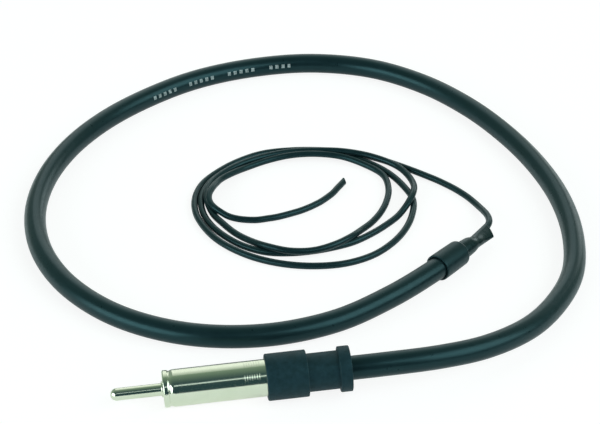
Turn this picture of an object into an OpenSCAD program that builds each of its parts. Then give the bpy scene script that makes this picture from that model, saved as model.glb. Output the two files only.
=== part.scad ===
// Soft wire antenna for a car or boat radio: an antenna plug with a moulded
// boot, a length of coaxial feeder bent into one loop, a sleeved joint at the
// feeder's far end, and a thin aerial wire coiled loosely inside the loop.
// It lies on the plane z = 0, with the plug along +X (boot towards +X) and the
// origin under the middle of the plug. Lengths are millimetres.

/* [Plug pin] */
// Diameter of the centre pin
pin_d = 3.2; // [2.6:0.1:3.8]
// Length of pin that stands out in front of the shell
pin_reach = 13.8; // [10:0.1:17]
// Bore of the hollow pin
pin_bore_d = 1.4; // [1.1:0.1:1.8]
// Diameter of the shoulder at the root of the pin
shoulder_d = 4.4; // [4:0.1:5]
// How far the shoulder shows in front of the shell
shoulder_reach = 0.6; // [0.2:0.1:1.2]
// Closed length of metal at the rounded tip
tip_wall = 2; // [1.2:0.1:3]
// Length of pin behind its insulator
pin_tail = 2; // [1:0.1:4]

/* [Plug shell] */
// Outer diameter of the shell
shell_d = 9.5; // [8.6:0.1:10.6]
// Wall of the shell
shell_wall = 0.6; // [0.4:0.05:0.8]
// Length of shell in front of the boot
shell_reach = 25.6; // [20:0.1:32]
// Width of the rolled lip at the front
lip_w = 1.5; // [1:0.1:2.2]
// Width of the rolled groove behind the lip
groove_w = 0.5; // [0.3:0.1:0.9]
// Depth of the rolled groove
groove_depth = 0.35; // [0.15:0.05:0.5]
// Rounding of the lip and of the boot's front edge
edge_r = 0.4; // [0.2:0.05:0.5]
// Length of the seat that the boot's collar grips
shell_tuck = 2; // [1:0.1:3]
// Depth of the step down to that seat
seat_step = 0.2; // [0.2:0.05:0.3]
// Length of the cone that narrows the shell to its crimp neck
cone_len = 1.5; // [1:0.1:2.5]
// Length of the crimp neck
crimp_len = 5; // [4:0.1:6]

/* [Plug insulator] */
// Length of the insulating bush that carries the pin
insulator_len = 12; // [8:0.1:14]
// How far the bush sits back from the front of the shell
insulator_inset = 0.5; // [0.2:0.1:1]
// Diameter of the flange that locks the pin in its bush
flange_d = 5; // [4.6:0.1:5.6]
// Width of that flange
flange_w = 1.2; // [0.8:0.1:2]
// Distance from the front of the bush to the flange
flange_set = 5; // [4:0.1:6]

/* [Moulded boot] */
// Diameter of the collar that grips the shell
collar_d = 12; // [11.6:0.1:13]
// Length of the collar
collar_len = 10.5; // [9.5:0.1:13]
// Diameter of the neck behind the collar
neck_d = 9.8; // [8.6:0.1:11]
// Length of the neck
neck_len = 8; // [5:0.1:12]
// Diameter of the ring at the rear of the boot
ring_d = 11.7; // [11:0.1:12]
// Length of that ring
ring_len = 3.1; // [2:0.1:5]
// Rounding of the boot's other edges
soft_r = 0.25; // [0.1:0.05:0.4]

/* [Coaxial feeder] */
// Outer diameter of the feeder
cable_d = 6.2; // [5.8:0.1:6.6]
// Diameter of the dielectric inside it
dielectric_d = 3.7; // [3.3:0.1:3.9]
// Diameter of the centre conductor
core_d = 0.8; // [0.6:0.05:0.95]
// Thickness of the braid
braid_t = 0.4; // [0.25:0.05:0.45]
// Wall of the crimp ferrule under the braid
ferrule_wall = 0.35; // [0.25:0.05:0.45]
// Length of solder round the conductor in the pin
solder_len = 2.4; // [1.5:0.1:4]

/* [Far end joint] */
// Diameter of the sleeve over the feeder's end
sleeve_d = 7.6; // [7.3:0.1:8.4]
// Length of that sleeve
sleeve_len = 11.5; // [10:0.1:16]
// Wall of that sleeve
sleeve_wall = 0.5; // [0.3:0.05:0.55]
// Rounding of the sleeve's far shoulder
sleeve_round = 1.1; // [0.6:0.1:1.3]
// Length of feeder inside the sleeve
cable_tuck = 8; // [6:0.1:9]
// Diameter of the shrunk tube that leaves the sleeve
joint_d = 5; // [4.6:0.1:5.2]
// Length of that tube outside the sleeve
joint_reach = 15; // [13:0.1:18]
// Length of its round base outside the sleeve
joint_base = 1.7; // [1:0.1:2.5]
// Length over which it shrinks down to the wire
joint_taper = 4; // [3:0.1:5]
// Diameter of the lobe shrunk on the wire
lobe_d = 2.6; // [2.3:0.1:3]
// Thickness of the lobe pinched flat beside it
pinch_t = 1.4; // [1:0.1:1.8]
// Length of the solder at the splice
splice_len = 3.2; // [2:0.1:4]
// Diameter of that solder
splice_d = 1.8; // [1.5:0.1:2]

/* [Aerial wire] */
// Outer diameter of the insulated wire
wire_d = 1.8; // [1.6:0.1:2]
// Diameter of the copper inside it
wire_core_d = 0.9; // [0.6:0.1:1.1]
// Length of wire stripped bare at the splice
strip_len = 3.2; // [2.4:0.1:4]

/* [Hidden] */

// Clearance between pieces that are pressed or moulded on each other
fit = 0.02;
round_faces = 96;
arc_steps = 8;

pin_r = pin_d / 2;
pin_bore_r = pin_bore_d / 2;
shell_r = shell_d / 2;
shell_bore_r = shell_r - shell_wall;
seat_r = shell_r - seat_step;
cable_r = cable_d / 2;
core_r = core_d / 2;
dielectric_r = dielectric_d / 2;
sleeve_r = sleeve_d / 2;
joint_r = joint_d / 2;
wire_r = wire_d / 2;

// Places along the plug, measured back from the front of the shell
groove_end = lip_w + groove_w;
insulator_end = insulator_inset + insulator_len;
pin_end = insulator_end + pin_tail;
bore_front = tip_wall - pin_reach;
core_front = bore_front + solder_len / 2;
solder_end = bore_front + solder_len;
flange_front = insulator_inset + flange_set;
shell_full_end = shell_reach + shell_tuck;
crimp_front = shell_full_end + cone_len;
crimp_end = crimp_front + crimp_len;
ferrule_front = crimp_front - 0.5;
ferrule_end = crimp_end - 1.5;
braid_narrow = ferrule_end + 1.2;
jacket_front = crimp_end + 0.3;
collar_end = shell_reach + collar_len;
neck_end = collar_end + neck_len;
boot_end = neck_end + ring_len;

// Radii of the layers under the crimp, from the conductor outwards
ferrule_in = dielectric_r + fit;
ferrule_out = ferrule_in + ferrule_wall;
braid_out = dielectric_r + fit + braid_t;
braid_wide_in = ferrule_out + fit;
braid_wide_out = braid_wide_in + braid_t;
crimp_in = braid_wide_out + fit;
crimp_out = crimp_in + shell_wall;

// The plug rests on its lip and on the front edge of the collar, tip down
plug_tilt = atan2(collar_d / 2 - shell_r, shell_reach);
axis_z = (shell_r - edge_r) * cos(plug_tilt) + edge_r - edge_r * sin(plug_tilt);
tip_x = (pin_r - pin_reach) * cos(plug_tilt) - pin_r;
rear_x = boot_end * cos(plug_tilt) + ring_d / 2 * sin(plug_tilt);
axis_x = -(tip_x + rear_x) / 2;
plug_dir = [cos(plug_tilt), 0, sin(plug_tilt)];
boot_exit = [axis_x, 0, axis_z] + boot_end * plug_dir;

// Route of the feeder. Each point is x, y and the lift above lying flat.
// It leaves the boot straight, settles on the plane and makes one loop.
exit_run = 8;
feeder_points = [
    [54, 2, 3.9], [67, 6.3, 2.9], [80.5, 15.5, 1.4], [91, 28, 0.4],
    [98.5, 42, 0], [102.9, 60.5, 0], [103.8, 80.5, 0], [101.2, 100.5, 0],
    [95.8, 119.5, 0], [87.6, 138, 0], [76.2, 154.5, 0], [61.2, 167, 0],
    [42.4, 173, 0], [23, 172.2, 0], [4.5, 166.5, 0], [-11.9, 156.2, 0],
    [-26.4, 142.8, 0], [-37.9, 126.5, 0], [-45.5, 108, 0], [-48.6, 88.4, 0],
    [-46.5, 68.5, 0], [-39, 50.3, 0], [-26.1, 35, 0], [-8.8, 25.2, 0],
    [10.8, 22.3, 0], [30, 26.2, 0.1], [46.5, 35.4, 0.4]
];
end_lift = sleeve_r - cable_r;
end_points = [[59.8, 45.6, end_lift], [67.2, 52.5, end_lift]];
feeder_rings = 38;
feeder_sides = 12;

// The far end's own frame: x runs on from the feeder, from the sleeve's rim
end_turn = atan2(end_points[1].y - end_points[0].y, end_points[1].x - end_points[0].x);
rim_x = end_points[1].x - cable_tuck * cos(end_turn);
rim_y = end_points[1].y - cable_tuck * sin(end_turn);
joint_front = cable_tuck + 0.2;
base_end = sleeve_len + joint_base;
taper_end = base_end + joint_taper;
joint_end = sleeve_len + joint_reach;
dielectric_end = base_end - 0.3;
splice_x = dielectric_end + 2.6;
cavity_end = splice_x + strip_len + 0.4;
cavity_r = 1.2;
wire_start = [splice_x, 0, 0];
// Where the wire leaves the joint: the tube droops and leans to the left there
lobe_y = 2;
lobe_drop = 0.5;
wire_exit = [joint_end, lobe_y, -lobe_drop];
wire_axis = (wire_exit - wire_start) / norm(wire_exit - wire_start);

// Route of the wire from the joint to the coil, as x, y and lift
lead_points = [
    [80.5, 69.3, 2.3], [81, 72, 2], [81, 74.8, 1.6], [80.7, 77.8, 1],
    [80.2, 80.8, 0.4], [79.4, 83.8, 0.1], [77.9, 87.6, 0], [75.2, 92.3, 0],
    [71.5, 97.2, 0], [67.3, 102, 0], [62.9, 107.2, 0], [58, 112.3, 0]
];
lead_rings = 15;
// Route of the loose end, from the coil's inner edge to the cut tip
tail_points = [
    [10.6, 82.8, 0], [14.5, 82.4, 0], [18.9, 83, 0], [24.9, 84.8, 0],
    [31.2, 88, 0], [37.2, 93.2, 0], [40.8, 97.6, 0], [43.5, 101.4, 0]
];
tail_rings = 11;
wire_sides = 8;

// Outer shape of the coil of wire
coil_centre = [29.6, 89.3];
coil_in_r = 21;
coil_out_r = 35.5;
coil_layers = 2;

// An arc of points round a centre, from one angle to another
function arc(c, r, from, to) =
    [for (i = [0:arc_steps]) let (a = from + (to - from) * i / arc_steps) c + r * [cos(a), sin(a)]];

// Route points lifted so that a cord of radius r lies on the plane
function lifted(points, r) = [for (p = points) [p.x, p.y, p.z + r]];

// A smooth curve through the points, read at one place between 0 and 1
function on_curve(points, u) =
    let (
        last = len(points) - 1,
        place = min(u, 0.999999) * last,
        i = floor(place),
        t = place - i,
        p0 = points[max(i - 1, 0)],
        p1 = points[i],
        p2 = points[i + 1],
        p3 = points[min(i + 2, last)],
        m1 = (p2 - p0) / 2,
        m2 = (p3 - p1) / 2
    )
    (2 * t ^ 3 - 3 * t ^ 2 + 1) * p1 + (t ^ 3 - 2 * t ^ 2 + t) * m1
    + (3 * t ^ 2 - 2 * t ^ 3) * p2 + (t ^ 3 - t ^ 2) * m2;

// A round tube of radius r along the points, closed at both ends
module swept(points, r, rings, sides, start_dir, end_dir) {
    path = [for (k = [0:rings]) k == rings ? points[len(points) - 1] : on_curve(points, k / rings)];
    ways = [
        for (k = [0:rings])
            k == 0 ? start_dir
            : k == rings ? end_dir
            : path[k + 1] - path[k - 1]
    ];
    verts = [
        for (k = [0:rings])
            let (
                side = cross(ways[k], [0, 0, 1]) / norm(cross(ways[k], [0, 0, 1])),
                up = cross(side, ways[k]) / norm(ways[k])
            )
            for (j = [0:sides - 1])
                let (a = 360 * j / sides - 90) path[k] + r * (cos(a) * side + sin(a) * up)
    ];
    walls = [
        for (k = [0:rings - 1])
            for (j = [0:sides - 1])
                let (n = (j + 1) % sides)
                [k * sides + j, (k + 1) * sides + j, (k + 1) * sides + n, k * sides + n]
    ];
    front = [for (j = [0:sides - 1]) j];
    back = [for (j = [sides - 1:-1:0]) rings * sides + j];
    polyhedron(points = verts, faces = concat(walls, [front], [back]), convexity = 10);
}

// A turned piece whose outline is radius and place along +X
module turned(outline) {
    rotate([0, 90, 0])
        rotate_extrude($fn = round_faces)
            polygon(outline);
}

// A round bar along +X from one place to another
module bar(r, from, to) {
    translate([from, 0, 0])
        rotate([0, 90, 0])
            cylinder(r = r, h = to - from, $fn = round_faces);
}

// A tube along +X
module tube(r_out, r_in, from, to) {
    turned([[r_in, from], [r_out, from], [r_out, to], [r_in, to]]);
}

// Puts a piece drawn along +X on the plug's axis
module on_plug() {
    translate([axis_x, 0, axis_z])
        rotate([0, -plug_tilt, 0])
            children();
}

// Puts a piece drawn along +X on the axis of the feeder's far end
module on_far_end() {
    translate([rim_x, rim_y, sleeve_r])
        rotate([0, 0, end_turn])
            children();
}

// Turns +X onto the line of the wire inside the joint
module on_wire() {
    translate(wire_start)
        rotate([0, -asin(wire_axis.z), atan2(wire_axis.y, wire_axis.x)])
            children();
}

module plug_pin() {
    color("gainsboro")
        on_plug()
            turned(concat(
                [[0, bore_front], [pin_bore_r, bore_front + pin_bore_r / 2], [pin_bore_r, pin_end]],
                [[pin_r, pin_end], [pin_r, flange_front + flange_w], [flange_d / 2, flange_front + flange_w]],
                [[flange_d / 2, flange_front], [pin_r, flange_front], [pin_r, insulator_inset]],
                [[shoulder_d / 2, insulator_inset], [shoulder_d / 2, -shoulder_reach / 2]],
                [[shoulder_d / 2 - shoulder_reach / 2, -shoulder_reach], [pin_r, -shoulder_reach]],
                arc([0, pin_r - pin_reach], pin_r, 0, -90)
            ));
}

module plug_shell() {
    color("silver")
        on_plug()
            turned(concat(
                [[shell_bore_r, 0]],
                arc([shell_r - edge_r, edge_r], edge_r, -90, 0),
                arc([shell_r - edge_r, lip_w - edge_r], edge_r, 0, 60),
                [[shell_r - groove_depth, lip_w], [shell_r - groove_depth, groove_end]],
                arc([shell_r - edge_r, groove_end + edge_r], edge_r, -60, 0),
                [[shell_r, shell_reach], [seat_r, shell_reach], [seat_r, shell_full_end]],
                [[crimp_out, crimp_front], [crimp_out, crimp_end], [crimp_in, crimp_end]],
                [[crimp_in, crimp_front], [shell_bore_r, shell_full_end]],
                [[shell_bore_r, groove_end + groove_depth], [shell_bore_r - groove_depth, groove_end]],
                [[shell_bore_r - groove_depth, lip_w], [shell_bore_r, lip_w - groove_depth]]
            ));
}

module pin_insulator() {
    out_r = shell_bore_r - fit;
    waist_r = out_r - groove_depth;
    in_r = pin_r + fit;
    color("ivory")
        on_plug()
            turned([
                [in_r, insulator_inset + fit], [out_r, insulator_inset + fit],
                [out_r, lip_w - groove_depth - fit], [waist_r, lip_w - fit],
                [waist_r, groove_end + fit], [out_r, groove_end + groove_depth + fit],
                [out_r, insulator_end], [in_r, insulator_end],
                [in_r, flange_front + flange_w + fit], [flange_d / 2 + fit, flange_front + flange_w + fit],
                [flange_d / 2 + fit, flange_front - fit], [in_r, flange_front - fit]
            ]);
}

module pin_solder() {
    bore_r = pin_bore_r - fit;
    color("lightgray")
        on_plug()
            turned([
                [0, bore_front + pin_bore_r / 2], [bore_r, bore_front + pin_bore_r / 2 + fit],
                [bore_r, solder_end], [core_r, solder_end], [core_r, core_front], [0, core_front]
            ]);
}

module plug_ferrule() {
    color("darkgoldenrod")
        on_plug()
            tube(ferrule_out, ferrule_in, ferrule_front, ferrule_end);
}

// One moulding: a collar over the shell, a neck and a rear ring
module plug_boot() {
    collar_r = collar_d / 2;
    neck_r = neck_d / 2;
    ring_r = ring_d / 2;
    color("#1a2326")
        on_plug()
            turned(concat(
                [[seat_r + fit, shell_reach]],
                arc([collar_r - edge_r, shell_reach + edge_r], edge_r, -90, 0),
                arc([collar_r - soft_r, collar_end - soft_r], soft_r, 0, 90),
                [[neck_r, collar_end], [neck_r, neck_end]],
                arc([ring_r - soft_r, neck_end + soft_r], soft_r, -90, 0),
                arc([ring_r - soft_r, boot_end - soft_r], soft_r, 0, 90),
                [[cable_r + fit, boot_end], [cable_r + fit, jacket_front], [crimp_out + fit, crimp_end + fit]],
                [[crimp_out + fit, crimp_front], [seat_r + fit, shell_full_end]]
            ));
}

module plug_core() {
    color("peru")
        on_plug()
            bar(core_r, core_front, boot_end);
}

module plug_dielectric() {
    color("white")
        on_plug()
            tube(dielectric_r, core_r, pin_end, boot_end);
}

// Braid spread over the ferrule at its front, tight on the dielectric behind
module plug_braid() {
    color("sandybrown")
        on_plug()
            turned([
                [braid_wide_in, ferrule_front], [braid_wide_out, ferrule_front],
                [braid_wide_out, ferrule_end + fit], [braid_out, braid_narrow], [braid_out, boot_end],
                [dielectric_r + fit, boot_end], [dielectric_r + fit, braid_narrow],
                [braid_wide_in, ferrule_end + fit]
            ]);
}

module plug_jacket() {
    color("#20292b")
        on_plug()
            tube(cable_r, braid_out + fit, jacket_front + fit, boot_end);
}

module coax_cable() {
    points = concat(
        [boot_exit, boot_exit + exit_run * plug_dir],
        lifted(feeder_points, cable_r),
        lifted(end_points, cable_r)
    );
    end_dir = [cos(end_turn), sin(end_turn), 0];
    color("#20292b")
        swept(points, cable_r, feeder_rings, feeder_sides, plug_dir, end_dir);
}

module end_sleeve() {
    color("#1c2729")
        on_far_end()
            turned(concat(
                [[sleeve_r - sleeve_wall, 0], [sleeve_r, 0]],
                arc([sleeve_r - sleeve_round, sleeve_len - sleeve_round], sleeve_round, 0, 90),
                [[joint_r + fit, sleeve_len], [joint_r + fit, sleeve_len - sleeve_wall]],
                arc([sleeve_r - sleeve_round, sleeve_len - sleeve_round], sleeve_round - sleeve_wall, 90, 0)
            ));
}

// A thin disc across the joint, used to shape its stretch of shrunk tube
module station(x, y, z, r) {
    translate([x, y, z])
        rotate([0, 90, 0])
            cylinder(r = r, h = 0.05, $fn = 32);
}

// Shrunk tube: round at the base, then one lobe on the wire and one pinched flat
module joint_sleeve() {
    end_x = joint_end - 0.05;
    lobe_r = lobe_d / 2;
    pinch_r = pinch_t / 2;
    color("#162022")
        on_far_end()
            difference() {
                union() {
                    bar(joint_r, joint_front, base_end);
                    hull() {
                        station(base_end - 0.05, 0, 0, joint_r);
                        station(taper_end, 0.25, 0, lobe_r + 0.15);
                        station(taper_end, -0.4, -0.3, lobe_r + 0.1);
                    }
                    hull() {
                        station(taper_end, 0.25, 0, lobe_r + 0.15);
                        station(end_x, lobe_y, -lobe_drop, lobe_r);
                    }
                    hull() {
                        station(taper_end, -0.4, -0.3, lobe_r + 0.1);
                        station(end_x, lobe_y - 1.2, -lobe_drop - 0.6, pinch_r);
                        station(end_x, lobe_y - 2.9, -lobe_drop - 1.1, pinch_r);
                    }
                }
                bar(dielectric_r + fit, joint_front - 1, dielectric_end + fit);
                bar(cavity_r, dielectric_end, cavity_end);
                on_wire()
                    bar(wire_r + fit, strip_len - fit, joint_end);
            }
}

module joint_dielectric() {
    color("white")
        on_far_end()
            tube(dielectric_r, core_r, cable_tuck, dielectric_end);
}

module joint_core() {
    color("peru")
        on_far_end()
            bar(core_r, cable_tuck, splice_x);
}

// Solder that holds the feeder's conductor to the wire's copper
module splice_solder() {
    color("lightgray")
        on_far_end()
            difference() {
                bar(splice_d / 2, splice_x - splice_len / 2, splice_x + splice_len / 2);
                bar(core_r, splice_x - splice_len, splice_x);
                on_wire()
                    bar(wire_core_d / 2, 0, splice_len);
                bar(wire_core_d / 2, splice_x, splice_x + 0.1);
            }
}

module wire_core() {
    color("peru")
        on_far_end()
            on_wire()
                bar(wire_core_d / 2, 0.1, strip_len);
}

module wire_stub() {
    color("#20292b")
        on_far_end()
            on_wire()
                bar(wire_r, strip_len, norm(wire_exit - wire_start));
}

module wire_lead() {
    turned_axis = [
        cos(end_turn) * wire_axis.x - sin(end_turn) * wire_axis.y,
        sin(end_turn) * wire_axis.x + cos(end_turn) * wire_axis.y,
        wire_axis.z
    ];
    start = [
        rim_x + cos(end_turn) * wire_exit.x - sin(end_turn) * wire_exit.y,
        rim_y + sin(end_turn) * wire_exit.x + cos(end_turn) * wire_exit.y,
        sleeve_r + wire_exit.z
    ];
    points = concat([start], lifted(lead_points, wire_r));
    last = len(points) - 1;
    color("#20292b")
        swept(points, wire_r, lead_rings, wire_sides, turned_axis, points[last] - points[last - 1]);
}

// The turns of loose wire as one closed ring of their outer shape
module wire_coil() {
    color("#20292b")
        translate([coil_centre.x, coil_centre.y, 0])
            rotate_extrude($fn = round_faces)
                translate([coil_in_r, 0])
                    square([coil_out_r - coil_in_r, coil_layers * wire_d]);
}

module wire_tail() {
    points = lifted(tail_points, wire_r);
    last = len(points) - 1;
    color("#20292b")
        swept(points, wire_r, tail_rings, wire_sides, points[1] - points[0], points[last] - points[last - 1]);
}

plug_pin();
plug_shell();
pin_insulator();
pin_solder();
plug_ferrule();
plug_boot();
plug_core();
plug_dielectric();
plug_braid();
plug_jacket();
coax_cable();
end_sleeve();
joint_sleeve();
joint_dielectric();
joint_core();
splice_solder();
wire_core();
wire_stub();
wire_lead();
wire_coil();
wire_tail();
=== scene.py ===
import bisect
import math

import bpy
from mathutils import Matrix, Vector


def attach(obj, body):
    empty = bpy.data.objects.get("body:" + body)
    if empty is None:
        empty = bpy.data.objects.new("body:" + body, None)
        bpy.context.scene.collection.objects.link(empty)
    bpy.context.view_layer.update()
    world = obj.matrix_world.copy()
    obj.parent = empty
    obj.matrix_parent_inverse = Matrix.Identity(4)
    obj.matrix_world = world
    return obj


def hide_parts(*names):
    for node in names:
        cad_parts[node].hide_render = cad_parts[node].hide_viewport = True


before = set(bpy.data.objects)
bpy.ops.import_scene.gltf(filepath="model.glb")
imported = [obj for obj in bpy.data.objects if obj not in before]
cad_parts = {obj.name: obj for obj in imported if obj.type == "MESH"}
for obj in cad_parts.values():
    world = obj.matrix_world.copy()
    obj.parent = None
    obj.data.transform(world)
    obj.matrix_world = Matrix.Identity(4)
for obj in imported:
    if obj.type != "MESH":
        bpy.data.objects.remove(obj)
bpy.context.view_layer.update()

MM = 0.001

# Camera
cam_data = bpy.data.cameras.new("camera")
cam_data.sensor_width = 36
cam_data.lens = 119.1
cam_data.clip_start = 0.01
cam_data.clip_end = 50
cam = bpy.data.objects.new("camera", cam_data)
cam.location = (-0.03185, -0.40131, 0.3073)
look = Vector((0.10335, 0.84172, -0.52992))
cam.rotation_euler = look.to_track_quat("-Z", "Y").to_euler()
bpy.context.scene.collection.objects.link(cam)
bpy.context.scene.camera = cam


# Helpers
SUBSTEPS = 12


def smooth_path(points, step):
    """Centripetal curve through the points, in equal short steps, and its length."""
    pts = [Vector(p) for p in points]
    last = len(pts) - 1
    dense = []
    for i in range(last):
        p1, p2 = pts[i], pts[i + 1]
        d1 = math.sqrt((p2 - p1).length)
        m1 = m2 = p2 - p1
        if i > 0:
            p0 = pts[i - 1]
            d0 = math.sqrt((p1 - p0).length)
            m1 = ((p1 - p0) / d0 - (p2 - p0) / (d0 + d1) + (p2 - p1) / d1) * d1
        if i < last - 1:
            p3 = pts[i + 2]
            d2 = math.sqrt((p3 - p2).length)
            m2 = ((p2 - p1) / d1 - (p3 - p1) / (d1 + d2) + (p3 - p2) / d2) * d1
        for j in range(SUBSTEPS):
            t = j / SUBSTEPS
            dense.append((2 * t**3 - 3 * t**2 + 1) * p1 + (t**3 - 2 * t**2 + t) * m1
                         + (3 * t**2 - 2 * t**3) * p2 + (t**3 - t**2) * m2)
    dense.append(pts[-1])
    run = [0.0]
    for a, b in zip(dense, dense[1:]):
        run.append(run[-1] + (b - a).length)
    count = max(2, round(run[-1] / step))
    path = []
    for k in range(count + 1):
        want = run[-1] * k / count
        i = min(max(bisect.bisect_right(run, want) - 1, 0), len(dense) - 2)
        t = (want - run[i]) / max(run[i + 1] - run[i], 1e-12)
        path.append(dense[i].lerp(dense[i + 1], t))
    return path, run[-1]


def add_mesh(name, verts, faces, material, uvs=None, sharp=35):
    mesh = bpy.data.meshes.new(name)
    mesh.from_pydata([tuple(v) for v in verts], [], faces)
    mesh.update()
    if uvs is not None:
        layer = mesh.uv_layers.new(name="along")
        for loop, uv in zip(layer.data, [uv for face in uvs for uv in face]):
            loop.uv = uv
    mesh.shade_smooth()
    mesh.set_sharp_from_angle(angle=math.radians(sharp))
    obj = bpy.data.objects.new(name, mesh)
    bpy.context.scene.collection.objects.link(obj)
    mesh.materials.append(material)
    return obj


def skin_faces(rows, sides):
    """Faces between rows of points, each row closed round."""
    faces = []
    for i in range(rows - 1):
        for j in range(sides):
            k = (j + 1) % sides
            faces.append((i * sides + j, i * sides + k, (i + 1) * sides + k, (i + 1) * sides + j))
    return faces


def close_ends(verts, faces, rows, sides):
    """Close the first and last row with a fan round its middle."""
    for row, last in ((0, False), (rows - 1, True)):
        hub = len(verts)
        first = row * sides
        verts.append(sum(verts[first:first + sides], Vector()) / sides)
        for j in range(sides):
            edge = (first + j, first + (j + 1) % sides)
            faces.append((hub,) + (edge if last else edge[::-1]))


def add_tube(name, path, radius, sides, material, last_tilt=None):
    """A round tube along the path, with u in metres along it and v round it.

    last_tilt slants the cut at the far end, sideways and upwards.
    """
    n = len(path)
    ways = [(path[min(i + 1, n - 1)] - path[max(i - 1, 0)]).normalized() for i in range(n)]
    verts, run = [], [0.0]
    for i in range(n):
        if i:
            run.append(run[-1] + (path[i] - path[i - 1]).length)
        side = ways[i].cross(Vector((0, 0, 1))).normalized()
        up = side.cross(ways[i]).normalized()
        tilt = last_tilt if i == n - 1 else None
        for j in range(sides):
            a = 2 * math.pi * j / sides
            off = radius * (math.cos(a) * side + math.sin(a) * up)
            if tilt:
                off = off + ways[i] * (off.dot(side) * tilt[0] + off.dot(up) * tilt[1])
            verts.append(path[i] + off)
    faces = skin_faces(n, sides)
    close_ends(verts, faces, n, sides)
    uvs = []
    for i in range(n - 1):
        for j in range(sides):
            uvs.append(((run[i], j / sides), (run[i], (j + 1) / sides),
                        (run[i + 1], (j + 1) / sides), (run[i + 1], j / sides)))
    for at in (run[0], run[-1]):
        uvs += [((at, 0.5),) * 3] * sides
    return add_mesh(name, verts, faces, material, uvs)


def add_turned(name, outline, segments, material, matrix, sharp=35):
    """A piece turned on its own X axis. The outline is place and radius in mm."""
    verts, faces, rows = [], [], []
    for s, r in outline:
        if r < 1e-6:
            rows.append([len(verts)])
            verts.append(Vector((s, 0, 0)) * MM)
        else:
            rows.append(list(range(len(verts), len(verts) + segments)))
            for j in range(segments):
                a = 2 * math.pi * j / segments
                verts.append(Vector((s, r * math.cos(a), r * math.sin(a))) * MM)
    pairs = list(zip(rows, rows[1:]))
    if len(rows[0]) > 1 and len(rows[-1]) > 1:
        pairs.append((rows[-1], rows[0]))
    for a, b in pairs:
        for j in range(segments):
            k = (j + 1) % segments
            if len(a) == 1:
                faces.append((a[0], b[k], b[j]))
            elif len(b) == 1:
                faces.append((a[j], a[k], b[0]))
            else:
                faces.append((a[j], a[k], b[k], b[j]))
    obj = add_mesh(name, verts, faces, material, sharp=sharp)
    obj.matrix_world = matrix
    return obj


def arc(centre, r, start, end, steps=8):
    """Points of place and radius round a centre; 0 degrees points along the axis."""
    out = []
    for i in range(steps + 1):
        a = math.radians(start + (end - start) * i / steps)
        out.append((centre[0] + r * math.cos(a), centre[1] + r * math.sin(a)))
    return out


# Materials
def node(tree, kind, values=None, **settings):
    n = tree.nodes.new(kind)
    for key, value in settings.items():
        setattr(n, key, value)
    for key, value in (values or {}).items():
        n.inputs[key].default_value = value
    return n


def noise(tree, coords, scale, detail):
    n = node(tree, "ShaderNodeTexNoise", {"Scale": scale, "Detail": detail, "Roughness": 0.55})
    tree.links.new(coords, n.inputs["Vector"])
    return n.outputs["Fac"]


def spread(tree, value, low, high, from_low=0.3, from_high=0.7):
    """Value stretched from one range to another; noise mostly lies between 0.3 and 0.7."""
    n = node(tree, "ShaderNodeMapRange", {"From Min": from_low, "From Max": from_high,
                                          "To Min": low, "To Max": high})
    tree.links.new(value, n.inputs["Value"])
    return n.outputs["Result"]


def ramp(tree, value, low, high):
    """Colour from low to high over the range of noise."""
    n = node(tree, "ShaderNodeValToRGB")
    n.color_ramp.elements[0].position = 0.3
    n.color_ramp.elements[1].position = 0.7
    n.color_ramp.elements[0].color = (*low, 1)
    n.color_ramp.elements[1].color = (*high, 1)
    tree.links.new(value, n.inputs["Fac"])
    return n.outputs["Color"]


def math_node(tree, operation, a, b=0.0):
    n = node(tree, "ShaderNodeMath", operation=operation)
    for socket, value in ((n.inputs[0], a), (n.inputs[1], b)):
        if isinstance(value, (int, float)):
            socket.default_value = value
        else:
            tree.links.new(value, socket)
    return n.outputs[0]


def start_material(name):
    mat = bpy.data.materials.new(name)
    mat.use_nodes = True
    tree = mat.node_tree
    coords = node(tree, "ShaderNodeTexCoord").outputs["Object"]
    return mat, tree, tree.nodes["Principled BSDF"], coords


def add_bump(tree, bsdf, height, strength, distance):
    bump = node(tree, "ShaderNodeBump", {"Strength": strength, "Distance": distance})
    tree.links.new(height, bump.inputs["Height"])
    tree.links.new(bump.outputs["Normal"], bsdf.inputs["Normal"])


RUBBER_SHEEN = (0.42, 0.92, 1.0, 1)


def rubber(name, low, high, rough, level, grain, depth, mottling=260):
    """Dark rubber or soft plastic: mottled colour, uneven gloss and a fine grain.

    level is the specular level; grain and depth are the grain's scale and height.
    """
    mat, tree, bsdf, coords = start_material(name)
    tree.links.new(ramp(tree, noise(tree, coords, mottling, 4), low, high), bsdf.inputs["Base Color"])
    tree.links.new(spread(tree, noise(tree, coords, mottling * 3, 5), rough - 0.05, rough + 0.06),
                   bsdf.inputs["Roughness"])
    bsdf.inputs["Specular IOR Level"].default_value = level
    bsdf.inputs["Specular Tint"].default_value = RUBBER_SHEEN
    add_bump(tree, bsdf, noise(tree, coords, grain, 2), 0.5, depth)
    return mat


def metal(name, low, high, rough, scale=(400, 6000, 6000), depth=2e-6):
    """Metal with fine marks drawn out along one direction."""
    mat, tree, bsdf, coords = start_material(name)
    stretch = node(tree, "ShaderNodeMapping", {"Scale": scale})
    tree.links.new(coords, stretch.inputs["Vector"])
    marks = noise(tree, stretch.outputs["Vector"], 1.0, 4)
    tree.links.new(ramp(tree, noise(tree, coords, 300, 3), low, high), bsdf.inputs["Base Color"])
    tree.links.new(spread(tree, marks, rough - 0.04, rough + 0.05), bsdf.inputs["Roughness"])
    bsdf.inputs["Metallic"].default_value = 1.0
    add_bump(tree, bsdf, marks, 0.4, depth)
    return mat


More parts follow.
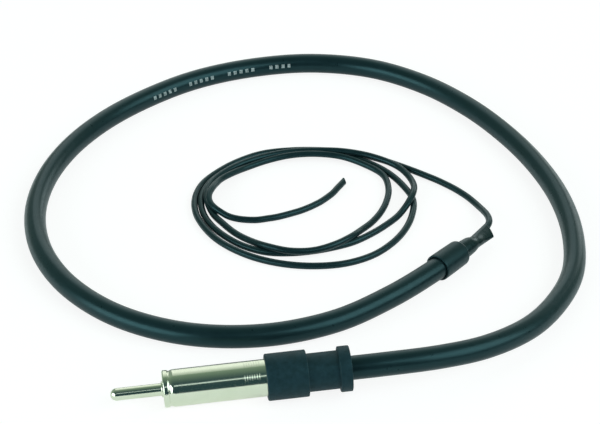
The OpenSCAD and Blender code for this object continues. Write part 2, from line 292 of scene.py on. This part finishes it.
def plastic(name, low, high, rough=0.45):
    """Moulded plastic, slightly uneven."""
    mat, tree, bsdf, coords = start_material(name)
    tree.links.new(ramp(tree, noise(tree, coords, 500, 3), low, high), bsdf.inputs["Base Color"])
    tree.links.new(spread(tree, noise(tree, coords, 900, 3), rough - 0.06, rough + 0.06),
                   bsdf.inputs["Roughness"])
    add_bump(tree, bsdf, noise(tree, coords, 3000, 2), 0.3, 5e-6)
    return mat


def braid(name):
    """Copper braid: two sets of crossing strands."""
    mat, tree, bsdf, coords = start_material(name)
    waves = []
    for lean in (35, -35):
        turn = node(tree, "ShaderNodeMapping", {"Rotation": (0, math.radians(lean), math.radians(lean))})
        tree.links.new(coords, turn.inputs["Vector"])
        w = node(tree, "ShaderNodeTexWave", {"Scale": 900, "Distortion": 0.5})
        tree.links.new(turn.outputs["Vector"], w.inputs["Vector"])
        waves.append(w.outputs["Fac"])
    both = math_node(tree, "MAXIMUM", *waves)
    tree.links.new(ramp(tree, both, (0.25, 0.11, 0.05), (0.75, 0.42, 0.26)), bsdf.inputs["Base Color"])
    tree.links.new(spread(tree, both, 0.45, 0.25), bsdf.inputs["Roughness"])
    bsdf.inputs["Metallic"].default_value = 1.0
    add_bump(tree, bsdf, both, 0.6, 4e-5)
    return mat


def nickel(name):
    """Polished nickel plate with faint marks drawn round it."""
    mat, tree, bsdf, coords = start_material(name)
    tree.links.new(ramp(tree, noise(tree, coords, 220, 4), (0.68, 0.72, 0.57), (0.72, 0.75, 0.61)),
                   bsdf.inputs["Base Color"])
    bsdf.inputs["Metallic"].default_value = 1.0
    stretch = node(tree, "ShaderNodeMapping", {"Scale": (3000, 150, 150)})
    tree.links.new(coords, stretch.inputs["Vector"])
    marks = noise(tree, stretch.outputs["Vector"], 1.0, 4)
    tree.links.new(spread(tree, marks, 0.10, 0.17), bsdf.inputs["Roughness"])
    add_bump(tree, bsdf, marks, 0.35, 1.5e-6)
    return mat


# The feeder's dashes: pitch of one and of a group, and the stretch, in metres; place round it
DASH_PITCH, GROUP_PITCH = 0.0021, 0.0147
DASH_STRETCH, DASH_ROUND = (0.2525, 0.3040), (0.425, 0.487)


def feeder_jacket(name):
    """The feeder's jacket, with a row of small worn pale dashes along one stretch."""
    mat, tree, bsdf, coords = start_material(name)
    base = ramp(tree, noise(tree, coords, 120, 4), (0.0060, 0.0165, 0.0195), (0.0085, 0.0215, 0.0255))
    uv = node(tree, "ShaderNodeUVMap", uv_map="along")
    axes = node(tree, "ShaderNodeSeparateXYZ")
    tree.links.new(uv.outputs["UV"], axes.inputs[0])
    u, v = axes.outputs["X"], axes.outputs["Y"]

    def band(value, low, high):
        return math_node(tree, "MULTIPLY", math_node(tree, "GREATER_THAN", value, low),
                         math_node(tree, "LESS_THAN", value, high))

    beat = math_node(tree, "FRACT", math_node(tree, "DIVIDE", u, DASH_PITCH))
    group = math_node(tree, "FRACT", math_node(tree, "DIVIDE", u, GROUP_PITCH))
    dash = math_node(tree, "MULTIPLY", band(beat, 0.2, 0.72), band(group, 0.0, 0.72))
    where = math_node(tree, "MULTIPLY", band(u, *DASH_STRETCH), band(v, *DASH_ROUND))
    worn = spread(tree, noise(tree, coords, 1800, 4), 0.35, 1.0, 0.35, 0.6)
    mask = math_node(tree, "MULTIPLY", math_node(tree, "MULTIPLY", dash, where), worn)
    mix = node(tree, "ShaderNodeMix", data_type="RGBA")
    mix.inputs["B"].default_value = (0.50, 0.56, 0.56, 1)
    tree.links.new(mask, mix.inputs["Factor"])
    tree.links.new(base, mix.inputs["A"])
    tree.links.new(mix.outputs["Result"], bsdf.inputs["Base Color"])
    tree.links.new(spread(tree, noise(tree, coords, 500, 5), 0.27, 0.35), bsdf.inputs["Roughness"])
    bsdf.inputs["Specular IOR Level"].default_value = 0.38
    bsdf.inputs["Specular Tint"].default_value = RUBBER_SHEEN
    add_bump(tree, bsdf, noise(tree, coords, 2600, 2), 0.35, 6e-6)
    return mat


M = {
    "nickel": nickel("nickel"),
    "boot": rubber("boot_rubber", (0.0050, 0.0155, 0.0200), (0.0110, 0.0290, 0.0395),
                   0.56, 0.4, 3200, 3.4e-5, 800),
    "jacket": feeder_jacket("feeder_jacket"),
    "inner_jacket": rubber("inner_jacket", (0.007, 0.015, 0.0165), (0.0105, 0.0205, 0.0225),
                           0.4, 0.4, 2600, 6e-6),
    "sleeve": rubber("sleeve_rubber", (0.0055, 0.0160, 0.0185), (0.0085, 0.0215, 0.0250),
                     0.36, 0.36, 2800, 8e-6),
    "shrink": rubber("shrunk_tube", (0.0040, 0.0110, 0.0125), (0.0065, 0.0150, 0.0170),
                     0.27, 0.42, 2600, 3e-6),
    "wire": rubber("wire_jacket", (0.0055, 0.0160, 0.0185), (0.0085, 0.0215, 0.0250),
                   0.32, 0.38, 3000, 5e-6),
    "copper": metal("copper", (0.66, 0.34, 0.20), (0.78, 0.44, 0.28), 0.28),
    "brass": metal("brass", (0.62, 0.45, 0.20), (0.72, 0.55, 0.28), 0.3),
    "solder": metal("solder", (0.50, 0.50, 0.50), (0.62, 0.62, 0.62), 0.38, (900, 900, 900), 1e-5),
    "insulator": plastic("insulator", (0.70, 0.67, 0.58), (0.76, 0.73, 0.64)),
    "dielectric": plastic("dielectric", (0.78, 0.78, 0.75), (0.84, 0.84, 0.81), 0.35),
    "braid": braid("copper_braid"),
}
# The inner solids keep their own shapes and get these materials
for part, key in {
    "pin_insulator": "insulator", "pin_solder": "solder", "plug_ferrule": "brass", "plug_core": "copper",
    "plug_dielectric": "dielectric", "plug_braid": "braid", "plug_jacket": "inner_jacket",
    "joint_dielectric": "dielectric", "joint_core": "copper", "splice_solder": "solder",
    "wire_core": "copper", "wire_stub": "wire",
}.items():
    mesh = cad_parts[part].data
    mesh.materials.clear()
    mesh.materials.append(M[key])

# Sizes in mm, as in part.scad: the plug rests on the shell's front and the boot's collar
SHELL_R, SEAT_R, CRIMP_R = 4.75, 4.55, 3.29
BOOT_R, BARREL_END, BOOT_END = 6.0, 25.6, 47.2
SLEEVE_GRIP = 8
PLUG_TILT = math.atan2(BOOT_R - SHELL_R, BARREL_END)
PLUG_AT = Vector((-16.8218, 0, 4.7253)) * MM
PLUG = Matrix.Translation(PLUG_AT) @ Matrix.Rotation(-PLUG_TILT, 4, "Y")
PLUG_DIR = Vector((math.cos(PLUG_TILT), 0, math.sin(PLUG_TILT)))
BOOT_EXIT = PLUG_AT + PLUG_DIR * BOOT_END * MM
CABLE_R = 3.1 * MM
WIRE_R = 0.97 * MM
# The sleeve grips the last stretch of the feeder and lies along it
END_TURN = math.atan2(52.5 - 45.6, 67.2 - 59.8)
RIM = Vector((67.2 - SLEEVE_GRIP * math.cos(END_TURN),
              52.5 - SLEEVE_GRIP * math.sin(END_TURN), 3.8)) * MM
FAR_END = Matrix.Translation(RIM) @ Matrix.Rotation(END_TURN, 4, "Z")


def lying(points, r):
    """Places in metres of route points in mm, with z the lift above lying on the floor."""
    return [Vector((x * MM, y * MM, z * MM + r)) for x, y, z in points]


# Feeder
feeder_points = [
    (54, 2, 3.9), (67, 6.3, 2.9), (80.5, 15.5, 1.4), (91, 28, 0.4), (98.5, 42, 0), (102.9, 60.5, 0),
    (103.8, 80.5, 0), (101.2, 100.5, 0), (95.8, 119.5, 0), (87.6, 138, 0), (76.2, 154.5, 0),
    (61.2, 167, 0), (42.4, 173, 0), (23, 172.2, 0), (4.5, 166.5, 0), (-11.9, 156.2, 0),
    (-26.4, 142.8, 0), (-37.9, 126.5, 0), (-45.5, 108, 0), (-48.6, 88.4, 0), (-46.5, 68.5, 0),
    (-39, 50.3, 0), (-26.1, 35, 0), (-8.8, 25.2, 0), (10.8, 22.3, 0), (30, 26.2, 0.1),
    (46.5, 35.4, 0.4), (59.8, 45.6, 0.7), (67.2, 52.5, 0.7),
]
feeder_path, feeder_length = smooth_path(
    [BOOT_EXIT, BOOT_EXIT + PLUG_DIR * 8 * MM] + lying(feeder_points, CABLE_R), 0.0012)
feeder = add_tube("feeder", feeder_path, CABLE_R, 56, M["jacket"])
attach(feeder, "root")
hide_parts("coax_cable")

# Plug
pin_outline = (
    [(-11.8, 0), (-11.1, 0.7), (14.5, 0.7), (14.5, 1.6), (6.7, 1.6), (6.7, 2.5), (5.5, 2.5), (5.5, 1.6),
     (0.5, 1.6), (0.5, 2.05)]
    + arc((-0.65, 1.75), 0.3, 90, 180, 6) + [(-0.95, 1.6)]
    + arc((-12.2, 0), 1.6, 90, 180, 20)[:-1] + [(-13.8, 0)]
)
pin = add_turned("pin", pin_outline, 128, M["nickel"], PLUG)
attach(pin, "root")
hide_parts("plug_pin")

shell_outline = (
    [(-0.5, 4.15)] + arc((-0.1, 4.33), 0.42, 180, 90, 10)
    + arc((0.62, 4.33), 0.42, 90, 40, 8) + arc((1.24, 4.86), 0.4, 225, 295, 10)
    + arc((2.44, 2.55), 2.2, 115, 90, 12)
)
# Shallow turned rings near the boot
RINGS, RING_START, RING_PITCH = 7, 20.1, 0.62
RING_CUT = ((0, 0), (0.03, 0.003), (0.09, 0.023), (0.12, 0.026), (0.15, 0.023), (0.21, 0.003), (0.24, 0))
for i in range(RINGS):
    place = RING_START + RING_PITCH * i
    shell_outline += [(place + along, SHELL_R - depth) for along, depth in RING_CUT]
shell_outline += [
    (BARREL_END, SHELL_R), (BARREL_END, SEAT_R), (27.6, SEAT_R), (29.1, CRIMP_R), (34.1, CRIMP_R),
    (34.1, 2.69), (29.1, 2.69), (27.6, 4.15), (2.35, 4.15), (2.0, 3.8), (1.5, 3.8), (1.15, 4.15),
    (-0.3, 4.15),
]
shell = add_turned("shell", shell_outline, 192, M["nickel"], PLUG, 50)
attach(shell, "root")
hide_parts("plug_shell")

boot_outline = (
    [(BARREL_END, 4.57)]
    + arc((26.0, 5.6), 0.4, 180, 90, 8) + arc((35.85, 5.75), 0.25, 90, 0, 8)
    + [(36.1, 5.1)] + arc((36.3, 5.1), 0.2, 180, 270, 5)
    + [(44.0, 4.9)] + arc((44.0, 5.1), 0.2, 270, 360, 5)
    + arc((44.45, 5.6), 0.25, 180, 90, 6) + arc((46.95, 5.6), 0.25, 90, 0, 6)
    + [(BOOT_END, 3.45), (46.9, 3.14), (34.4, 3.14), (34.12, 3.31), (29.1, 3.31), (27.6, 4.57)]
)
boot = add_turned("boot", boot_outline, 160, M["boot"], PLUG, 40)
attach(boot, "root")
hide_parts("plug_boot")

# Far end
sleeve_outline = (
    [(0.1, 3.34)] + arc((0.3, 3.6), 0.2, 180, 90, 8)
    + [(1.4, 3.8), (4.0, 3.78), (7.5, 3.72)] + arc((9.75, 2.62), 1.06, 88, 0, 14)
    + [(10.82, 2.56), (10.6, 2.52), (10.0, 2.52), (10.0, 2.7)] + arc((9.4, 2.7), 0.6, 0, 90, 6)
    + [(1.4, 3.3), (0.5, 3.28)]
)
sleeve = add_turned("sleeve", sleeve_outline, 128, M["sleeve"], FAR_END, 45)
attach(sleeve, "root")
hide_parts("end_sleeve")


def blend_value(x, stops):
    """Values at x between the stops, on straight lines."""
    for (x0, v0), (x1, v1) in zip(stops, stops[1:]):
        if x <= x1:
            t = min(max((x - x0) / (x1 - x0), 0), 1)
            return tuple(a + (b - a) * t for a, b in zip(v0, v1))
    return stops[-1][1]


# The shrunk tube in mm: x, then middle y and z, half width, half height, egg shape, roll in degrees
JOINT_STOPS = [
    (13.0, (0, 0, 2.63, 2.61, 0, 0)), (15.7, (0.02, -0.02, 2.45, 2.35, 0, 0)),
    (17.2, (0, -0.1, 1.9, 1.58, 0.05, 14)), (20.5, (0.2, -0.25, 2.1, 1.32, 0.15, 20)),
    (25.8, (0.8, -0.62, 2.45, 1.12, 0.28, 19)),
]
JOINT_BASE = ((8.4, 2.5), (10.2, 2.5), (10.8, 2.56))
JOINT_START, JOINT_RUN, JOINT_END, JOINT_ROWS = 11.5, 14.2, 25.8, 58
LUMP_HEIGHT, LUMP_AT, LUMP_ANGLE = 0.5, 18.1, 148
CUT_START, CUT_RUN, CUT_SLANT, CUT_ROWS = 21.5, 4.3, 0.34, 20
SMOOTHING = 16


def joint_section(x, sides):
    """Outline of the shrunk tube at x mm: round on the feeder, egg-shaped on the wire."""
    cy, cz, wide, high, egg, roll = blend_value(x, JOINT_STOPS)
    turn = math.radians(roll)
    ring = []
    for j in range(sides):
        a = 2 * math.pi * j / sides
        across = wide * math.cos(a - turn)
        up = high * (1 + egg * math.cos(a - turn)) * math.sin(a - turn)
        # The splice stands out a little through the tube
        lump = LUMP_HEIGHT * math.exp(-((x - LUMP_AT) / 1.9) ** 2
                                      - (math.radians(LUMP_ANGLE) - a) ** 2 / 0.6)
        across += lump * math.cos(a - turn)
        up += lump * math.sin(a - turn)
        ring.append(Vector((x, cy + across * math.cos(turn) - up * math.sin(turn),
                            cz + across * math.sin(turn) + up * math.cos(turn))) * MM)
    return ring, Vector((x, cy, cz)) * MM


def make_joint(sides=96):
    """The shrunk tube: round rows in the sleeve, smoothed sections, a turned-in end."""
    rows = []
    for x, r in JOINT_BASE:
        rows.append([Vector((x, r * math.cos(2 * math.pi * j / sides),
                             r * math.sin(2 * math.pi * j / sides))) * MM for j in range(sides)])
    for i in range(JOINT_ROWS):
        rows.append(joint_section(JOINT_START + JOINT_RUN * i / (JOINT_ROWS - 1), sides)[0])
    for _ in range(SMOOTHING):
        for i in range(len(JOINT_BASE) + 1, len(rows) - 1):
            rows[i] = [(rows[i - 1][j] + rows[i + 1][j] + rows[i][j - 1] + rows[i][(j + 1) % sides]
                        + rows[i][j] * 2) / 6 for j in range(sides)]
    rim, centre = rows[-1], joint_section(JOINT_END, sides)[1]
    for inset, step in ((0.97, 0.1), (0.9, 0.14), (0.78, 0.0), (0.7, -0.3)):
        rows.append([centre + Vector((step * MM, 0, 0)) + (p - centre) * inset for p in rim])
    # The end was cut aslant
    for row in rows[-CUT_ROWS:]:
        for p in row:
            share = min(max((p.x / MM - CUT_START) / CUT_RUN, 0), 1)
            p.x += CUT_SLANT * share * (p.y - 1.0 * MM)
    verts = [p for row in rows for p in row]
    faces = skin_faces(len(rows), sides)
    close_ends(verts, faces, len(rows), sides)
    return verts, faces


joint = add_mesh("joint", *make_joint(), M["shrink"], sharp=60)
joint.matrix_world = FAR_END
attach(joint, "root")
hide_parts("joint_sleeve")

# Aerial wire
WIRE_EXIT = FAR_END @ (Vector((26.5, 2, -0.5)) * MM)
lead_points = [
    (80.5, 69.3, 2.3), (81, 72, 2), (81, 74.8, 1.6), (80.7, 77.8, 1), (80.2, 80.8, 0.4), (79.4, 83.8, 0.1),
    (77.9, 87.6, 0), (75.2, 92.3, 0), (71.5, 97.2, 0), (70, 98.9, 0),
]
# The turns go round this middle: radius and lift in mm at every step of the angle
COIL_X, COIL_Y, TURN_START, TURN_STEP = 29, 88, 30, 15
turns = [
    (38, 0), (35.8, 0), (34.6, 0), (33.3, 0), (33, 0), (33.2, 0), (32.6, 0), (32.3, 0), (32.5, 0),
    (32, 0), (31.2, 0), (30.4, 0), (30.1, 0), (30, 0), (30.3, 0), (30.8, 0), (31.5, 0), (32.3, 0),
    (32.5, 0), (32.1, 0), (31.9, 0), (32.1, 0), (32.7, 0), (32.2, 0), (32.2, 0), (32.2, 0), (32.1, 0),
    (31.3, 0), (30.7, 0), (30.5, 0), (30.6, 0), (30.4, 0.3), (30.6, 0.3), (30.1, 0.3), (29.1, 0),
    (28.1, 0), (27.3, 0), (26.9, 0), (26.3, 0), (24.9, 0), (23.8, 0), (23.4, 0), (23.8, 0), (24.4, 0),
    (25.9, 0), (28.6, 0.1), (32.5, 1.8), (35.3, 0.6), (36.1, 0.7), (34.3, 1.2), (31.7, 1.8),
    (30.3, 1.6), (29.6, 1.5), (29.3, 1.3), (29.1, 1.3), (29, 1.5), (29.2, 1.5), (28.5, 1.2), (26.5, 0),
    (24.7, 0), (24, 0), (24.2, 0.5), (25.8, 1.7), (26.1, 1.5), (25.3, 1.2), (24.4, 1.6), (23, 1.5),
    (21.5, 0.5), (21.7, 0), (22.9, 0), (24.8, 0), (27.5, 0), (30.2, 0), (30.3, 0.3), (29.8, 1),
    (28.4, 1.5), (27.7, 1.4), (27.4, 0.9), (27.3, 0.6), (27, 1.4),
]
tail_points = [
    (6.5, 103.6, 1.8), (4.7, 100.5, 2.2), (3.3, 97.2, 2.7), (2.2, 94.3, 2.7), (1.9, 91.9, 2.4),
    (2.3, 89.7, 2), (3.4, 87.6, 1.7), (5, 86.1, 1.1), (6.9, 84.7, 0.5), (9.4, 83.7, 0.1),
    (12.2, 82.9, 0), (15.2, 82.5, 0), (18.2, 82.9, 0), (21.1, 83.4, 0), (26.8, 85.4, 0),
    (28.6, 86.2, 0), (31.2, 87.7, 0), (32.8, 88.8, 0), (34.4, 90, 0), (35.9, 91.4, 0), (38, 93.6, 0),
    (39.2, 95.1, 0), (40.3, 96.8, 0), (42, 99.3, 0), (43.1, 100.9, 0),
]
coil_points = []
for i, (r, z) in enumerate(turns):
    a = math.radians(TURN_START + TURN_STEP * i)
    coil_points.append((COIL_X + r * math.cos(a), COIL_Y + r * math.sin(a), z))
wire_path, wire_length = smooth_path(
    [WIRE_EXIT - (FAR_END.to_3x3() @ Vector((1, 0.15, 0))).normalized() * 0.0014]
    + lying(lead_points + coil_points + tail_points, WIRE_R), 0.0006)
wire = add_tube("wire", wire_path, WIRE_R, 20, M["wire"], last_tilt=(-0.85, 0.1))
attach(wire, "root")
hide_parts("wire_lead", "wire_coil", "wire_tail")


# Floor and light
FLOOR_GLOW, FLOOR_TONE = 0.86, 0.22
GLOSS_GLOW, GLOSS_TONE = 0.32, 0.85


def stage_material(name, tone, glow):
    """A matt floor. A glow that the camera, metal and glass see makes it read white.

    Gloss sees less of the glow and more of the floor itself, so shadows show there too.
    """
    mat = bpy.data.materials.new(name)
    mat.use_nodes = True
    tree = mat.node_tree
    tree.nodes.remove(tree.nodes["Principled BSDF"])
    path = node(tree, "ShaderNodeLightPath")
    gloss = math_node(tree, "MAXIMUM", path.outputs["Is Glossy Ray"], path.outputs["Is Transmission Ray"])
    white = spread(tree, gloss, tone, GLOSS_TONE, 0.0, 1.0)
    diffuse = node(tree, "ShaderNodeBsdfDiffuse")
    tree.links.new(white, diffuse.inputs["Color"])
    seen = math_node(tree, "ADD", math_node(tree, "MULTIPLY", path.outputs["Is Camera Ray"], glow),
                     math_node(tree, "MULTIPLY", gloss, GLOSS_GLOW))
    emission = node(tree, "ShaderNodeEmission")
    tree.links.new(seen, emission.inputs["Strength"])
    both = node(tree, "ShaderNodeAddShader")
    tree.links.new(diffuse.outputs[0], both.inputs[0])
    tree.links.new(emission.outputs[0], both.inputs[1])
    tree.links.new(both.outputs[0], tree.nodes["Material Output"].inputs["Surface"])
    return mat


bpy.ops.mesh.primitive_grid_add(x_subdivisions=2, y_subdivisions=2, size=30, location=(0, 0, -0.00005))
floor = bpy.context.object
floor.name = "floor"
floor.data.materials.append(stage_material("floor", FLOOR_TONE, FLOOR_GLOW))

world = bpy.data.worlds.new("room")
bpy.context.scene.world = world
world.use_nodes = True
room = world.node_tree
way = node(room, "ShaderNodeSeparateXYZ")
room.links.new(node(room, "ShaderNodeTexCoord").outputs["Generated"], way.inputs[0])
# The room is dim in front, behind the camera, and lighter overhead and at the back
shades = node(room, "ShaderNodeValToRGB")
stops = [(0.05, (0.028, 0.065, 0.077)), (0.275, (0.050, 0.095, 0.100)), (0.62, (0.19, 0.28, 0.22)),
         (0.75, (0.30, 0.40, 0.33)), (1.0, (0.32, 0.40, 0.36))]
for i, (place, colour) in enumerate(stops):
    stop = shades.color_ramp.elements[i] if i < 2 else shades.color_ramp.elements.new(place)
    stop.position = place
    stop.color = (*colour, 1)
room.links.new(spread(room, way.outputs["Y"], 0.0, 1.0, -1.0, 1.0), shades.inputs["Fac"])
white = node(room, "ShaderNodeMix", data_type="RGBA")
white.inputs["B"].default_value = (1, 1, 1, 1)
room.links.new(node(room, "ShaderNodeLightPath").outputs["Is Camera Ray"], white.inputs["Factor"])
room.links.new(shades.outputs["Color"], white.inputs["A"])
room.links.new(white.outputs["Result"], room.nodes["Background"].inputs["Color"])

CENTRE = Vector((0.03, 0.08, 0.0))
# The camera looks 7 degrees to the right of the Y axis
VIEW_TURN = math.radians(-7.0)


def softbox(name, azimuth, elevation, distance, width, height, strength, colour=(1, 1, 1)):
    """An area lamp aimed at the middle. Azimuth 0 is behind the camera, 90 to its right."""
    a = math.radians(azimuth) + VIEW_TURN
    e = math.radians(elevation)
    at = CENTRE + Vector((math.sin(a) * math.cos(e), -math.cos(a) * math.cos(e), math.sin(e))) * distance
    lamp = bpy.data.lights.new(name, "AREA")
    lamp.shape = "RECTANGLE"
    lamp.size, lamp.size_y = width, height
    lamp.color = colour
    # A lamp's power is its radiance times its area times pi
    lamp.energy = strength * width * height * math.pi
    obj = bpy.data.objects.new(name, lamp)
    obj.location = at
    obj.rotation_euler = (CENTRE - at).to_track_quat("-Z", "Y").to_euler()
    bpy.context.scene.collection.objects.link(obj)


WINDOW = (0.86, 1.0, 1.0)
softbox("back_wall", 182, 20, 2.4, 1.3, 1.4, 0.8)
for i, strength in enumerate((0.68, 0.48, 0.26)):
    softbox("back_fade_%d" % i, 182, 41 + 10 * i, 2.4, 1.3, 0.42, strength)
softbox("back_card", 149, 12, 2.4, 0.9, 0.9, 1.4)
softbox("left_window", -56, 16, 2.0, 2.1, 1.25, 3.4, WINDOW)
softbox("right_window", 66, 36, 2.0, 2.0, 1.45, 2.8, WINDOW)
softbox("front_strip", 13, 47, 2.4, 1.3, 0.22, 1.1, WINDOW)

bpy.context.scene.view_settings.view_transform = "Standard"
